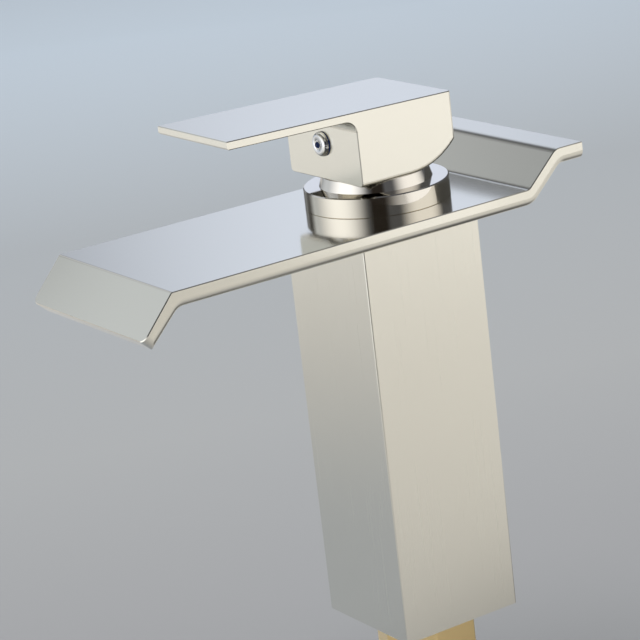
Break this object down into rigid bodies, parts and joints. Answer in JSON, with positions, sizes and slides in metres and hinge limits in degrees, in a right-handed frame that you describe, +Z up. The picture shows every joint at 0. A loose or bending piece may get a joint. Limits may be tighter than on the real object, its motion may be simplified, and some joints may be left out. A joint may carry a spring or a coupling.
{
  "type": "waterfall basin mixer tap",
  "caption": "Single-lever waterfall basin mixer: square column, wide open spout plate with a bent tongue, block handle with a flat lever, brass mounting shank.",
  "frame": {"origin": "centre of the column's foot, on the deck surface", "axes": "+Z up, the spout and lever point towards -Y, hot is on -X and cold on +X"},
  "size_m": [0.0776, 0.1857, 0.2518],
  "materials": {
    "brushed_nickel": "satin brushed nickel plate",
    "polished_nickel": "turned and polished nickel plate",
    "chrome": "polished chrome",
    "brass": "machined brass",
    "copper": "drawn copper tube",
    "rubber": "moulded black rubber",
    "stainless": "plain stainless steel",
    "white_plastic": "moulded acetal",
    "alumina": "lapped alumina",
    "red_plastic": "moulded red plastic",
    "red_enamel": "glossy red",
    "blue_enamel": "glossy blue"
  },
  "bodies": {
    "tap": {"column_body": "brushed_nickel", "foot_plug": "brass", "mounting_shank": "brass", "base_gasket": "rubber", "rubber_washer": "rubber", "steel_washer": "stainless", "lock_nut": "brass", "hot_supply_tube": "copper", "cold_supply_tube": "copper", "valve_housing": "brass", "spout_plate": "brushed_nickel", "plate_gasket": "rubber", "plate_screws": "stainless", "cover_ring": "polished_nickel", "cone_cap": "polished_nickel", "cartridge_nut": "brass", "cartridge_base": "white_plastic", "port_seals": "rubber", "disc_seal": "rubber", "fixed_disc": "alumina", "cartridge_body": "white_plastic", "limit_ring": "red_plastic"},
    "turret": {"stem_carrier": "white_plastic", "stem_pin": "stainless"},
    "lever": {"stem": "stainless", "handle": "brushed_nickel", "grub_screw": "stainless", "index_bezel": "chrome", "index_bead": "blue_enamel", "index_hot": "red_enamel", "index_cold": "blue_enamel"},
    "valve_disc": {"moving_disc": "alumina", "disc_coupler": "white_plastic"}
  },
  "joints": [
    {"name": "lever_turn", "type": "hinge", "parent": "tap", "child": "turret", "pos_m": [0, 0, 0.1585], "axis": [0, 0, 1], "range_deg": [-45, 45]},
    {"name": "lever_lift", "type": "hinge", "parent": "turret", "child": "lever", "pos_m": [0, 0, 0.1585], "axis": [-1, 0, 0], "range_deg": [0, 25]},
    {"name": "disc_slide", "type": "slide", "parent": "turret", "child": "valve_disc", "axis": [0, -1, 0], "range_m": [0, 0.0057]}
  ],
  "couplings": [
    {"joint": "disc_slide", "follows": "lever_lift", "m_per_rad": 0.0128}
  ]
}
